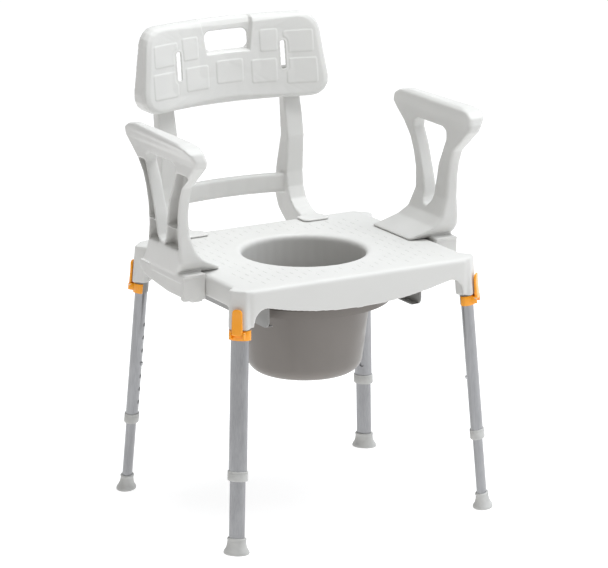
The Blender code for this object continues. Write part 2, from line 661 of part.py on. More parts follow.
def build_clip(name, leg):
    """The band round the sleeve, the lever that tightens it and the lever's pin."""
    inside = widen(sleeve_sizes(), GAP)
    outside = widen(inside, BAND_WALL)
    thick, width, height = LEVER_SIZE
    pivot_x = outside[0] / 2 + LEVER_ROOM + thick / 2
    lug_in = width / 2 + GAP
    lug_out = lug_in + LUG_THICK
    band = piece(f"clip_band_{name}", oval_bar(f"clip_band_{name}", [(z, outside) for z in BAND]),
                 "orange_plastic", leg)
    for number, side in enumerate((-1, 1)):
        near, far = span(side, lug_in, lug_out)
        lug = block(f"lug_{name}_{number}", (0.0, near, BAND[0] + LUG_THICK),
                    (pivot_x + LUG_HEEL - LEVER_ROOM / 2, far, LEVER_PIVOT + LUG_HEEL))
        combine(band, lug, "UNION")
    beyond = (BAND[0] - OVERRUN, BAND[1] + OVERRUN)
    combine(band, oval_bar(f"band_bore_{name}", [(z, inside) for z in beyond]))
    combine(band, block(f"band_gap_{name}", (-OVERRUN, -OVERRUN, beyond[0]), (BAND_OPEN, OVERRUN, beyond[1])))
    combine(band, rod(f"lug_hole_{name}", PIN_RADIUS + GAP / 3, (pivot_x, -OVERRUN, LEVER_PIVOT),
                      (pivot_x, OVERRUN, LEVER_PIVOT)))
    pin = rod(f"lever_pin_{name}", PIN_RADIUS,
              (pivot_x, -lug_out, LEVER_PIVOT), (pivot_x, lug_out, LEVER_PIVOT))
    piece(f"lever_pin_{name}", pin, "steel", leg)

    hinge = empty(f"{name}_lever_axis", Matrix.Translation((pivot_x, 0.0, LEVER_PIVOT)), leg)
    plate = rounded(rectangle(-width / 2, width / 2, -thick / 2, height - thick / 2), LEVER_CORNER)
    mesh = prism(f"clip_lever_{name}", plate, -thick / 2, thick / 2, "YZX")
    lever = piece(f"clip_lever_{name}", mesh, "orange_plastic", hinge)
    round_edges(lever, 0.0014)
    combine(lever, rod(f"lever_hole_{name}", PIN_RADIUS + GAP / 2, (0, -OVERRUN, 0), (0, OVERRUN, 0)))


def build_socket(name, side, end):
    """Sleeve and clip at the top of one leg."""
    leg = empty(f"{name}_socket_axis", leg_matrix(side, end))
    mesh = oval_bar(f"socket_sleeve_{name}", [(z, sleeve_sizes()) for z in SLEEVE])
    sleeve = piece(f"socket_sleeve_{name}", mesh, "grey_plastic", leg)
    bore = widen(UPPER_OVAL, GAP)
    combine(sleeve, oval_bar(f"sleeve_bore_{name}", ((SLEEVE[0] - OVERRUN, bore), (UPPER_TOP + GAP, bore))))
    build_clip(name, leg)


# ---- bucket and runners --------------------------------------------------------------------------
def flange_outline(inset, steps=10):
    """The flange in plan: round, but cut flat on both sides where it runs in the runners."""
    radius, flat = FLANGE_RADIUS - inset, FLANGE_FLAT - inset
    edge = math.pi / 2 - math.acos(flat / radius)
    points = []
    for middle in (math.pi / 2, -math.pi / 2):
        for k in range(steps + 1):
            a = middle - edge + 2 * edge * k / steps
            points.append(Vector((radius * math.cos(a), FLANGE_Y - BUCKET_Y + radius * math.sin(a))))
    return points


def pan_side(inset):
    """Half-section of the pan: rounded foot and tapering side, inset from the outer face."""
    bottom = FLANGE_HIGH - BUCKET_DEPTH
    foot = BUCKET_RADIUS - BUCKET_TAPER - BUCKET_FOOT_ROUND
    rounding = BUCKET_FOOT_ROUND - inset
    points = [(0.0, bottom + inset)]
    points += [(foot + rounding * math.sin(a), bottom + BUCKET_FOOT_ROUND - rounding * math.cos(a))
               for a in quarter()]
    return points + [(BUCKET_RADIUS - inset, FLANGE_LOW)]


def build_bucket():
    slide = empty("bucket_axis", Matrix.Translation((0, BUCKET_Y, 0)))
    flange = prism("bucket", flange_outline(0.0), FLANGE_LOW, FLANGE_HIGH)
    bucket = piece("bucket", flange, "bucket_plastic", slide)
    round_edges(bucket, 0.0025)
    under = FLANGE_HIGH - BUCKET_WALL
    combine(bucket, prism("flange_hollow", flange_outline(BUCKET_WALL), FLANGE_LOW - OVERRUN, under))
    brim = FLANGE_HIGH - BITE
    pan = pan_side(0.0) + [(BUCKET_RADIUS, brim), (0.0, brim)]
    combine(bucket, turned("pan", pan, BUCKET_SIDES), "UNION")
    above = FLANGE_HIGH + OVERRUN
    room = pan_side(BUCKET_WALL) + [(BUCKET_RADIUS - BUCKET_WALL, above), (0.0, above)]
    combine(bucket, turned("pan_room", room, BUCKET_SIDES))


def build_runners():
    """Two rails screwed under the seat, each with a lip that carries the bucket's flange."""
    under = SEAT_HEIGHT - SEAT_WALL - GAP
    web = FLANGE_FLAT + RUNNER_PLAY
    lip_high = FLANGE_LOW - GAP
    lip_low = lip_high - RUNNER_WALL
    outer = web + RUNNER_WALL
    section = [(web - RUNNER_LIP, lip_low), (outer, lip_low), (outer, under - RUNNER_WALL),
               (web + RUNNER_FLANGE, under - RUNNER_WALL), (web + RUNNER_FLANGE, under), (web, under),
               (web, lip_high), (web - RUNNER_LIP, lip_high)]
    nose = [(RUNNER_FRONT + RUNNER_NOSE * (1 - math.cos(a)), lip_low + RUNNER_NOSE * (1 - math.sin(a)))
            for a in quarter()]
    below, before = lip_low - OVERRUN, RUNNER_FRONT - OVERRUN
    nose += [(RUNNER_FRONT + RUNNER_NOSE, below), (before, below), (before, lip_low + RUNNER_NOSE)]
    for name, side in SIDES.items():
        outline = [(side * x, z) for x, z in section]
        mesh = prism(f"bucket_runner_{name}", outline, RUNNER_FRONT, RUNNER_REAR, "XZY")
        runner = piece(f"bucket_runner_{name}", mesh, "grey_plastic")
        combine(runner, prism(f"runner_nose_{name}", nose, *span(side, 0.0, web + OVERRUN), "YZX"))
        x = side * (outer + web + RUNNER_FLANGE) / 2
        for number, y in enumerate((RUNNER_FRONT + RUNNER_SCREW_INSET, RUNNER_REAR - RUNNER_SCREW_INSET)):
            hole = rod(f"runner_hole_{name}_{number}", SCREW_RADIUS + GAP,
                       (x, y, under - RUNNER_WALL * 2), (x, y, under + RUNNER_WALL))
            combine(runner, hole)
            screw(f"runner_screw_{name}_{number + 1}", (x, y, under - RUNNER_WALL - GAP), (0, 0, 1),
                  RUNNER_WALL + GAP)


# ---- arms ----------------------------------------------------------------------------------------
def arm_rings(side):
    rings = []
    for height, front, rear, inside, outside in ARM_LEVELS:
        tail = outside - max(0.0, outside - ARM_FLARE_FROM) * ARM_TAIL
        plan = [(side * inside, front), (side * outside, front), (side * tail, rear), (side * inside, rear)]
        ring = rounded(plan[::side], min(ARM_CORNER, (outside - inside) * 0.3), 2)
        rings.append([Vector((p.x, p.y, height)) for p in ring])
    return rings


def arm_pocket(which, low, high, count=5):
    """The hollow between the arm's edge flange and the window's wall, in side view."""
    edge = [(level[0], level[1 + which]) for level in ARM_LEVELS]
    window = (WINDOW_FRONT, WINDOW_REAR)[which]
    inward = (ARM_WALL, -ARM_WALL)[which]
    heights = [low + (high - low) * k / (count - 1) for k in range(count)]
    outer = [(line_at(edge, z) + inward, z) for z in heights]
    inner = [(line_at(window, z) - inward, z) for z in heights]
    return outer + inner[::-1]


def build_arm(name, side):
    """A lift-off arm, hollow on its outer side, with two prongs that drop into the arm socket."""
    lift = empty(f"arm_{name}_axis", Matrix.Translation((side * HALF_WIDTH, 0, SEAT_HEIGHT)))
    arm = piece(f"arm_{name}", loft(f"arm_{name}", arm_rings(side), 50.0), "white_plastic", lift)
    window = [(y, z) for z, y in WINDOW_REAR] + [(y, z) for z, y in reversed(WINDOW_FRONT)]
    combine(arm, prism(f"arm_window_{name}", window, -OVERRUN, OVERRUN, "YZX"))
    blade_in = max(level[3] for level in ARM_LEVELS if ARM_POCKETS[0] < level[0] < ARM_POCKETS[1])
    hollow = span(side, blade_in + ARM_WALL, OVERRUN)
    half_web = ARM_WALL / 4
    tiers = ((ARM_POCKETS[0], ARM_WEB - half_web), (ARM_WEB + half_web, ARM_POCKETS[1]))
    for number, (low, high) in enumerate(tiers):
        for which, tag in enumerate(("front", "rear")):
            cut = prism(f"arm_pocket_{name}_{number}_{tag}", arm_pocket(which, low, high), *hollow, "YZX")
            combine(arm, cut)
    x = side * PRONG_OUT
    for number, y in enumerate(PRONG_Y):
        prong = block(f"prong_{name}_{number}", (x - PRONG[0] / 2, y - PRONG[1] / 2, PRONG_LOW),
                      (x + PRONG[0] / 2, y + PRONG[1] / 2, PRONG_HIGH))
        combine(arm, prong, "UNION")
    near, far = span(side, SLIDE_GAP, SKIRT_OUT)
    for number, (front, rear, low) in enumerate((BLADE_SKIRT, FRONT_SKIRT)):
        skirt = block(f"arm_skirt_{name}_{number}", (near, front, low), (far, rear, SKIRT_HIGH))
        combine(arm, skirt, "UNION")


# ---- backrest, in a frame whose origin is the middle of the seat top's rear edge -----------------
def build_backrest_frame():
    """Two channel-section uprights joined by a crossbar; a tongue and a peg foot each one on the seat."""
    outline = [(y, z) for z, y in FRONT_LINE] + [(y, z) for z, y in reversed(REAR_LINE)]
    outline += [(GAP * 2, REAR_LINE[0][0]), (GAP * 2, GAP)]
    outline += [(TONGUE_FRONT, GAP), (TONGUE_FRONT + BITE, TONGUE_NOSE)]
    half = UPRIGHT_WIDTH / 2
    low, high = CHANNEL
    heights = [low] + [z for z, _ in FRONT_LINE[2:6]] + [high]
    channel = [(line_at(FRONT_LINE, z) + UPRIGHT_WALL, z) for z in heights]
    channel += [(OVERRUN * 1.5, high), (OVERRUN * 1.5, low)]
    meshes = [prism(f"upright_{name}", outline, side * UPRIGHT_X - half, side * UPRIGHT_X + half, "YZX", 50.0)
              for name, side in SIDES.items()]
    frame = piece("backrest_frame", meshes[0], "white_plastic", BACKREST)
    combine(frame, meshes[1], "UNION")
    for name, side in SIDES.items():
        x = side * UPRIGHT_X
        pad = rounded(rectangle(side * TONGUE_X - TONGUE_WIDTH / 2, side * TONGUE_X + TONGUE_WIDTH / 2,
                                TONGUE_FRONT, TONGUE_REAR), TONGUE_ROUND)
        combine(frame, prism(f"tongue_{name}", pad, GAP + HAIR, GAP + TONGUE_THICK), "UNION")
        near, far = x - half + UPRIGHT_WALL, x + half - UPRIGHT_WALL
        combine(frame, prism(f"channel_{name}", channel, near, far, "YZX"))
        peg = block(f"peg_{name}", (x - PEG[0] / 2, PEG_Y - PEG[1] / 2, PEG_LOW),
                    (x + PEG[0] / 2, PEG_Y + PEG[1] / 2, TONGUE_THICK - BITE))
        combine(frame, peg, "UNION")
        for number, z in enumerate(BOSS_Z):
            height = z - SEAT_HEIGHT
            hole = rod(f"frame_hole_{name}_{number}", SCREW_RADIUS + GAP,
                       (x, 0.0, height), (x, OVERRUN * 2, height))
            combine(frame, hole)
    reach = UPRIGHT_X - half + UPRIGHT_WALL / 2
    rings = []
    for k in range(CROSSBAR_STEPS + 1):
        share = 2 * k / CROSSBAR_STEPS - 1
        y = CROSSBAR_Y - CROSSBAR_BOW * share ** 2
        bar = rounded(rectangle(y, y + CROSSBAR_THICK, *CROSSBAR), CROSSBAR_ROUND, 2)
        rings.append([Vector((reach * share, p.x, p.y)) for p in bar])
    combine(frame, loft("crossbar", rings), "UNION")


def panel_front(x, z):
    """Y of the panel's front face: leaning back and curved round the sitter."""
    sag = PANEL_BEND - math.sqrt(PANEL_BEND ** 2 - x * x)
    return PANEL_Y + PANEL_LEAN * (z - PANEL_LOW) - sag


def panel_edge():
    """The panel's outline in front view, with points along its straight runs so that it can bend."""
    corners = [(-PANEL_HALF_LOW, PANEL_LOW), (PANEL_HALF_LOW, PANEL_LOW), (PANEL_HALF_HIGH, PANEL_HIGH),
               (-PANEL_HALF_HIGH, PANEL_HIGH)]
    outline = rounded(corners, PANEL_CORNER, 4)
    points = []
    for k, here in enumerate(outline):
        after = outline[(k + 1) % len(outline)]
        parts = max(1, round((after - here).length / PANEL_STEP))
        points += [here.lerp(after, j / parts) for j in range(parts)]
    return points


def panel_skin():
    """An open surface: deep edge, rounded shoulder and curved front, closed by a fan in the middle."""
    edge = panel_edge()
    middle = Vector((0.0, (PANEL_LOW + PANEL_HIGH) / 2))

    def at(point, depth):
        return Vector((point.x, panel_front(point.x, point.y) + depth, point.y))

    def inset(amount):
        return [p + (middle - p).normalized() * amount for p in edge]

    def shrunk(share):
        return [middle + (p - middle) * share for p in edge]
    rise = [(p.y - PANEL_LOW) / (PANEL_HIGH - PANEL_LOW) for p in edge]
    shoulder = PANEL_ROUND * (1 - math.sqrt(0.5))
    rings = [[at(p, PANEL_DEPTH - PANEL_TAPER * share) for p, share in zip(edge, rise)],
             [at(p, PANEL_ROUND) for p in edge],
             [at(p, shoulder) for p in inset(shoulder)],
             [at(p, 0.0) for p in inset(PANEL_ROUND)]]
    rings += [[at(p, 0.0) for p in shrunk(share)] for share in PANEL_RINGS]
    bm = bmesh.new()
    last = skin_rings(bm, rings)[-1]
    hub = bm.verts.new(at(middle, 0.0))
    fan = [bm.faces.new((vertex, last[(k + 1) % len(last)], hub)) for k, vertex in enumerate(last)]
    bmesh.ops.recalc_face_normals(bm, faces=bm.faces)
    if fan[0].normal.y > 0:
        bmesh.ops.reverse_faces(bm, faces=bm.faces)
    mesh = bpy.data.meshes.new("back_panel")
    bm.to_mesh(mesh)
    bm.free()
    mesh.shade_smooth()
    mesh.set_sharp_from_angle(angle=math.radians(50))
    return mesh


def upright_at(line, z):
    """Y of an upright's front or rear line at a height above the floor."""
    return SEAT_REAR + line_at(line, z - SEAT_HEIGHT)


def screw_panel(panel, name, side):
    """Clear the panel's edge round an upright, and screw the two together through bosses."""
    x = side * UPRIGHT_X
    width = UPRIGHT_WIDTH / 2 + SLIDE_GAP
    margin = PANEL_WALL
    notch = block(f"panel_notch_{name}",
                  (x - width, upright_at(FRONT_LINE, PANEL_LOW) - margin, PANEL_LOW - OVERRUN),
                  (x + width, upright_at(REAR_LINE, PANEL_LOW) + margin, PANEL_LOW + PANEL_WALL * 3))
    combine(panel, notch)
    for number, z in enumerate(BOSS_Z):
        front, back = upright_at(FRONT_LINE, z), upright_at(REAR_LINE, z)
        boss = rod(f"boss_{name}_{number}", BOSS_RADIUS, (x, panel_front(UPRIGHT_X, z) + PANEL_WALL / 2, z),
                   (x, front - BOSS_GAP, z))
        combine(panel, boss, "UNION")
        combine(panel, rod(f"boss_hole_{name}_{number}", SCREW_RADIUS + GAP / 3, (x, front - BOSS_GRIP, z),
                           (x, front + BOSS_GAP, z)))
        head = (x, back + BOSS_GAP - SEAT_REAR, z - SEAT_HEIGHT)
        reach = back - front + BOSS_GRIP - BITE * 2
        screw(f"panel_screw_{name}_{number + 1}", head, (0, -1, 0), reach, BACKREST)


def build_panel():
    """The curved back panel: a front skin with a deep edge turned backwards, open behind."""
    home = empty("back_panel_axis", Matrix.Translation((0.0, -SEAT_REAR, -SEAT_HEIGHT)), BACKREST)
    panel = piece("back_panel", panel_skin(), "white_plastic", home)
    thicken(panel, PANEL_WALL)
    low, high = PANEL_Y - OVERRUN, PANEL_Y + OVERRUN
    for name, side in SIDES.items():
        slot = rectangle(side * SLOT_X - SLOT_WIDTH / 2, side * SLOT_X + SLOT_WIDTH / 2,
                         SLOT_Z - SLOT_HEIGHT / 2, SLOT_Z + SLOT_HEIGHT / 2)
        combine(panel, prism(f"slot_{name}", slot, low, high, "XZY"))
    grip = rounded(rectangle(-GRIP_WIDTH / 2, GRIP_WIDTH / 2, GRIP_Z - GRIP_HEIGHT / 2,
                             GRIP_Z + GRIP_HEIGHT / 2), GRIP_ROUND)
    combine(panel, prism("grip", grip, low, high, "XZY"))
    for name, side in SIDES.items():
        screw_panel(panel, name, side)


# ---- the whole chair -----------------------------------------------------------------------------
def centre_chair():
    """Put the origin under the middle of the chair's bounding box, on the floor."""
    bpy.context.view_layer.update()
    graph = bpy.context.evaluated_depsgraph_get()
    reach = []
    for made in PARTS.objects:
        if made.type == "MESH":
            ready = made.evaluated_get(graph)
            reach += [(ready.matrix_world @ vertex.co).y for vertex in ready.data.vertices]
    CHAIR.location.y -= (min(reach) + max(reach)) / 2
    bpy.context.view_layer.update()


build_seat()
build_arm_sockets()
for corner, (left_right, front_rear) in CORNERS.items():
    build_leg(corner, left_right, front_rear)
    build_socket(corner, left_right, front_rear)
build_bucket()
build_runners()
for arm_name, arm_sign in SIDES.items():
    build_arm(arm_name, arm_sign)
build_backrest_frame()
build_panel()
centre_chair()
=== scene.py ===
"""Looks of the commode chair: moulded plastic, satin aluminium and a soft studio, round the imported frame.

Metres.  Shapes are written in the chair's own frame, whose origin is on the floor in the middle of
the four feet, and are moved by MIDDLE into the row's frame.
"""
import json
import math

import bmesh
import bpy
from mathutils import Matrix, Vector


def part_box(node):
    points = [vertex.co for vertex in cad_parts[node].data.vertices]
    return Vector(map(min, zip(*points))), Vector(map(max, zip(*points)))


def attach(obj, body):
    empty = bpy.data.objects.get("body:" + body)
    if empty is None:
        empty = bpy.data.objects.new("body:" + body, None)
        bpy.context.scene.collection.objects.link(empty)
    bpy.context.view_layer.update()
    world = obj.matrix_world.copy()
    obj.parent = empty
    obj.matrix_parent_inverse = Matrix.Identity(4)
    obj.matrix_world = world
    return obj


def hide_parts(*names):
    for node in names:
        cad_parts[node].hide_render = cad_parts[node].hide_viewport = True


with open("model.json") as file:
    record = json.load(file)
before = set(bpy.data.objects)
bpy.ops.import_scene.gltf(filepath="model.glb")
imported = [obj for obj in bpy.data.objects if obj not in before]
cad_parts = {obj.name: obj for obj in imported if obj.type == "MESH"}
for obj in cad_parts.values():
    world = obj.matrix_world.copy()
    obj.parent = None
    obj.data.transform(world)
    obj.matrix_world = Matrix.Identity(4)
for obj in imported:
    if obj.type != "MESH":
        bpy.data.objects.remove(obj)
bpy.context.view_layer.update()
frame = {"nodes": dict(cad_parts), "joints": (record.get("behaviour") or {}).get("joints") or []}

CORNERS = {"front_left": (-1, -1), "front_right": (1, -1), "rear_left": (-1, 1), "rear_right": (1, 1)}
SIDES = {"left": -1, "right": 1}
JOINTS = {joint["name"]: joint for joint in frame["joints"]}


def node_middle(node):
    low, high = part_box(node)
    return (Vector(low) + Vector(high)) / 2


FOOT_MIDDLES = {name: node_middle(f"foot_{name}") for name in CORNERS}
MIDDLE = Vector((0.0, sum(spot.y for spot in FOOT_MIDDLES.values()) / len(FOOT_MIDDLES), 0.0))
CHAIR = Matrix.Translation(MIDDLE)

# ---- sizes of the mouldings ----------------------------------------------------------------------
SEAT_TOP = 0.475
SEAT_HALF = 0.240
SEAT_FRONT, SEAT_REAR = -0.205, 0.210
SEAT_WALL = 0.004
HOLE_RADIUS, HOLE_Y, RIM_ROUND = 0.113, -0.002, 0.013
SPLASH_DEPTH = 0.055    # of the CAD's splash wall, from the seat top
SPLASH_LAP = 0.006      # how far the added ring reaches up into that wall
SPLASH_GAP = 0.0025     # between the splash wall and the bucket's rim
FAR = 0.1               # how far a cutter runs past what it cuts

# ---- finishes ------------------------------------------------------------------------------------
WHITE = (0.665, 0.662, 0.645)
GREY = (0.300, 0.298, 0.292)
BUCKET = (0.228, 0.208, 0.192)
ORANGE = (0.980, 0.375, 0.012)
ALUMINIUM = (0.330, 0.332, 0.342)
RUBBER = (0.560, 0.560, 0.548)
STEEL = (0.520, 0.520, 0.530)


# ---- materials -----------------------------------------------------------------------------------
def shader_tree(name):
    made = bpy.data.materials.new(name)
    made.use_nodes = True
    return made, made.node_tree, made.node_tree.nodes["Principled BSDF"]


def noise_node(tree, scale, detail=3.0, stretch=(1.0, 1.0, 1.0)):
    """Noise over the object's own metres; stretch below 1 draws it out along that axis."""
    place = tree.nodes.new("ShaderNodeTexCoord")
    mapping = tree.nodes.new("ShaderNodeMapping")
    mapping.inputs["Scale"].default_value = stretch
    made = tree.nodes.new("ShaderNodeTexNoise")
    made.inputs["Scale"].default_value = scale
    made.inputs["Detail"].default_value = detail
    tree.links.new(place.outputs["Object"], mapping.inputs["Vector"])
    tree.links.new(mapping.outputs["Vector"], made.inputs["Vector"])
    return made


def ramp_node(tree, source, stops):
    made = tree.nodes.new("ShaderNodeValToRGB")
    made.color_ramp.elements[0].position = stops[0][0]
    made.color_ramp.elements[1].position = stops[-1][0]
    for element, (_, colour) in zip((made.color_ramp.elements[0], made.color_ramp.elements[1]),
                                    (stops[0], stops[-1])):
        element.color = (*colour, 1.0)
    for position, colour in stops[1:-1]:
        made.color_ramp.elements.new(position).color = (*colour, 1.0)
    tree.links.new(source.outputs["Fac"], made.inputs["Fac"])
    return made


def bump_node(tree, shader, layers, distance):
    """Stacked bumps, one for each (noise, strength) layer."""
    last = None
    for source, strength in layers:
        made = tree.nodes.new("ShaderNodeBump")
        made.inputs["Strength"].default_value = strength
        made.inputs["Distance"].default_value = distance
        tree.links.new(source.outputs["Fac"], made.inputs["Height"])
        if last:
            tree.links.new(last.outputs["Normal"], made.inputs["Normal"])
        last = made
    tree.links.new(last.outputs["Normal"], shader.inputs["Normal"])


def shade(colour, share):
    return tuple(channel * share for channel in colour)


def plastic(name, colour, rough, grain=0.25, tint=(1.0, 1.0, 1.0), mottle=0.03, coat=0.0):
    """Moulded plastic: fine spark-eroded grain, faint flow mottling and handling sheen."""
    made, tree, shader = shader_tree(name)
    flow = noise_node(tree, 9.0, 4.0)
    dark = tuple(channel * (1.0 - mottle) * share for channel, share in zip(colour, tint))
    colours = ramp_node(tree, flow, [(0.30, dark), (0.52, colour), (0.75, shade(colour, 1.0 + mottle / 2))])
    tree.links.new(colours.outputs["Color"], shader.inputs["Base Color"])
    wear = noise_node(tree, 38.0, 5.0)
    polish = ramp_node(tree, wear, [(0.35, (rough - 0.05,) * 3), (0.70, (rough + 0.06,) * 3)])
    tree.links.new(polish.outputs["Color"], shader.inputs["Roughness"])
    shader.inputs["Specular IOR Level"].default_value = 0.42
    shader.inputs["Coat Weight"].default_value = coat
    shader.inputs["Coat Roughness"].default_value = 0.25
    layers = [(noise_node(tree, 1500.0, 2.0), grain), (noise_node(tree, 420.0, 2.0), grain / 2)]
    bump_node(tree, shader, layers, 0.0002)
    return made


def rubber(name, colour):
    """Matt rubber: mottled with dust, pitted on the surface."""
    made, tree, shader = shader_tree(name)
    dust = noise_node(tree, 60.0, 6.0)
    colours = ramp_node(tree, dust, [(0.30, shade(colour, 0.90)), (0.55, colour), (0.80, shade(colour, 1.05))])
    tree.links.new(colours.outputs["Color"], shader.inputs["Base Color"])
    shader.inputs["Roughness"].default_value = 0.60
    shader.inputs["Specular IOR Level"].default_value = 0.30
    bump_node(tree, shader, [(noise_node(tree, 1100.0, 3.0), 0.35), (noise_node(tree, 180.0, 2.0), 0.15)], 0.0003)
    return made


def metal(name, colour, rough, streak, depth=0.12):
    """Drawn or turned metal: streaks drawn out along Z, with faint rub marks across them."""
    made, tree, shader = shader_tree(name)
    drawn = noise_node(tree, 900.0, 4.0, (1.0, 1.0, streak))
    colours = ramp_node(tree, drawn, [(0.25, shade(colour, 0.88)), (0.50, colour), (0.78, shade(colour, 1.10))])
    tree.links.new(colours.outputs["Color"], shader.inputs["Base Color"])
    rub = noise_node(tree, 70.0, 5.0, (1.0, 1.0, 0.35))
    polish = ramp_node(tree, rub, [(0.35, (rough - 0.06,) * 3), (0.68, (rough + 0.07,) * 3)])
    tree.links.new(polish.outputs["Color"], shader.inputs["Roughness"])
    shader.inputs["Metallic"].default_value = 0.92
    bump_node(tree, shader, [(drawn, depth)], 0.0001)
    return made


FINISHES = {
    "white": plastic("white_moulding", WHITE, 0.44, grain=0.22),
    "white_inside": plastic("white_moulding_arm", shade(WHITE, 0.985), 0.46, grain=0.26),
    "grey": plastic("grey_moulding", GREY, 0.42, grain=0.20),
    "bucket": plastic("bucket_moulding", BUCKET, 0.38, grain=0.16, mottle=0.05),
    "orange": plastic("orange_clip", ORANGE, 0.30, grain=0.12, mottle=0.04, coat=0.25),
    "aluminium": metal("satin_aluminium", ALUMINIUM, 0.36, 0.012),
    "rubber": rubber("pale_rubber", RUBBER),
    "steel": metal("plain_steel", STEEL, 0.28, 0.30),
}


# ---- outlines ------------------------------------------------------------------------------------
def quarter(steps):
    """Angles from 0 to 90 degrees."""
    return [math.pi / 2 * k / steps for k in range(steps + 1)]


def rectangle(x0, x1, y0, y1):
    return [(x0, y0), (x1, y0), (x1, y1), (x0, y1)]


def rounded(corners, radius, steps=8):
    """A convex outline with the same radius at each corner."""
    points = []
    for k, here in enumerate(corners):
        here = Vector(here)
        before = (Vector(corners[k - 1]) - here).normalized()
        after = (Vector(corners[(k + 1) % len(corners)]) - here).normalized()
        half = before.angle(after) / 2
        reach = radius / math.tan(half)
        centre = here + (before + after).normalized() * (radius / math.sin(half))
        start = here + before * reach - centre
        sweep = start.angle_signed(here + after * reach - centre)
        for step in range(steps + 1):
            points.append(centre + Matrix.Rotation(-sweep * step / steps, 2) @ start)
    return points


def oval(sizes, count=64):
    turn = [2 * math.pi * k / count for k in range(count)]
    return [Vector((sizes[0] / 2 * math.cos(a), sizes[1] / 2 * math.sin(a))) for a in turn]


def widen(sizes, margin):
    return tuple(size + 2 * margin for size in sizes)


def smooth_line(points, steps):
    """A Catmull-Rom curve through points of any dimension."""
    points = [Vector(point) for point in points]
    last = len(points) - 1
    made = []
    for k in range(last):
        a, b, c, d = (points[min(max(k + j, 0), last)] for j in (-1, 0, 1, 2))
        for step in range(steps):
            t = step / steps
            made.append(0.5 * ((2 * b) + (c - a) * t + (2 * a - 5 * b + 4 * c - d) * t ** 2
                               + (3 * b - a - 3 * c + d) * t ** 3))
    return made + [points[-1]]


def ease(low, high, value):
    """0 below low, 1 above high, smooth between."""
    share = max(0.0, min(1.0, (value - low) / (high - low)))
    return share * share * (3 - 2 * share)


# ---- meshes --------------------------------------------------------------------------------------
def mesh_from(bm, name, matrix=None):
    bmesh.ops.recalc_face_normals(bm, faces=bm.faces)
    if matrix is not None:
        bm.transform(matrix)
    mesh = bpy.data.meshes.new(name)
    bm.to_mesh(mesh)
    bm.free()
    return mesh


def loft(name, rings, matrix=None, closed=False):
    """A solid through rings of equal length, capped at its ends, or closed on itself like a ring."""
    bm = bmesh.new()
    levels = [[bm.verts.new(point) for point in ring] for ring in rings]
    pairs = list(zip(levels, levels[1:]))
    if closed:
        pairs.append((levels[-1], levels[0]))
    for low, high in pairs:
        for k in range(len(low)):
            nxt = (k + 1) % len(low)
            bm.faces.new((low[k], low[nxt], high[nxt], high[k]))
    if not closed:
        bm.faces.new(levels[0])
        bm.faces.new(levels[-1])
    bmesh.ops.remove_doubles(bm, verts=bm.verts, dist=0.000005)
    return mesh_from(bm, name, matrix)


def turned(name, profile, count, matrix=None):
    """A solid of revolution round Z from a closed (radius, height) profile."""
    rings = []
    for k in range(count):
        a = 2 * math.pi * k / count
        rings.append([Vector((r * math.cos(a), r * math.sin(a), z)) for r, z in profile])
    return loft(name, rings, matrix, closed=True)


def rod(name, radius, start, end, count=24, matrix=None):
    start, end = Vector(start), Vector(end)
    turn = (end - start).to_track_quat("Z", "Y").to_matrix().to_4x4()
    turn.translation = start
    circle = oval((radius * 2, radius * 2), count)
    rings = [[Vector((p.x, p.y, z)) for p in circle] for z in (0, (end - start).length)]
    return loft(name, rings, turn if matrix is None else matrix @ turn)


def oval_sweep(name, sizes, profile, matrix, level_below=0.0):
    """A ring or foot round an oval: its closed profile holds (outward offset, height) points.

    An offset of None is the oval's middle.  Below level_below the heights lean over, so that a base
    at height 0 lies level on the floor although the leg leans.
    """
    up = matrix.row[2].to_3d()
    rings = []
    for offset, height in profile:
        ring = oval((0.0, 0.0) if offset is None else widen(sizes, offset))
        tilt = 1.0 - min(1.0, height / level_below) if level_below else 0.0
        rings.append([Vector((p.x, p.y, height - tilt * (up.x * p.x + up.y * p.y) / up.z)) for p in ring])
    return loft(name, rings, matrix, closed=True)


def place(name, mesh):
    made = bpy.data.objects.new(name, mesh)
    bpy.context.scene.collection.objects.link(made)
    return made


def evaluated(piece):
    """The piece's mesh with its modifiers applied."""
    graph = bpy.context.evaluated_depsgraph_get()
    return bpy.data.meshes.new_from_object(piece.evaluated_get(graph))


def add_boolean(piece, mesh, operation, solver="MANIFOLD"):
    other = place(f"{mesh.name}_tool", mesh)
    step = piece.modifiers.new(mesh.name, "BOOLEAN")
    step.object = other
    step.operation = operation
    step.solver = solver
    return other


def carve(name, mesh, steps):
    """A mesh after a list of ("UNION" or "DIFFERENCE", mesh) steps."""
    piece = place(f"{name}_work", mesh)
    tools = [add_boolean(piece, other, operation) for operation, other in steps]
    made = evaluated(piece)
    made.name = name
    for used in [piece] + tools:
        bpy.data.objects.remove(used, do_unlink=True)
    return made


def mould(name, mesh, steps, voxel, relax, finish, sculpt=None):
    """A moulding: carved from solids, then remeshed and relaxed so that every corner is radiused."""
    piece = place(name, carve(name, mesh, steps))
    remesh = piece.modifiers.new("even", "REMESH")
    remesh.mode = "VOXEL"
    remesh.voxel_size = voxel
    soften = piece.modifiers.new("radius", "SMOOTH")
    soften.factor = 0.5
    soften.iterations = relax
    made = evaluated(piece)
    piece.modifiers.clear()
    piece.data = made
    if sculpt:
        spots = [sculpt(vertex.co.copy(), vertex.normal.copy()) for vertex in made.vertices]
        made.vertices.foreach_set("co", [value for spot in spots for value in spot])
        made.update()
    made.shade_smooth()
    return paint(piece, finish)


def solid(node):
    """A CAD node's shape as one closed mesh in the row's frame."""
    bm = bmesh.new()
    bm.from_mesh(frame["nodes"][node].data)
    bmesh.ops.remove_doubles(bm, verts=bm.verts, dist=0.00001)
    return mesh_from(bm, f"{node}_solid", frame["nodes"][node].matrix_world)


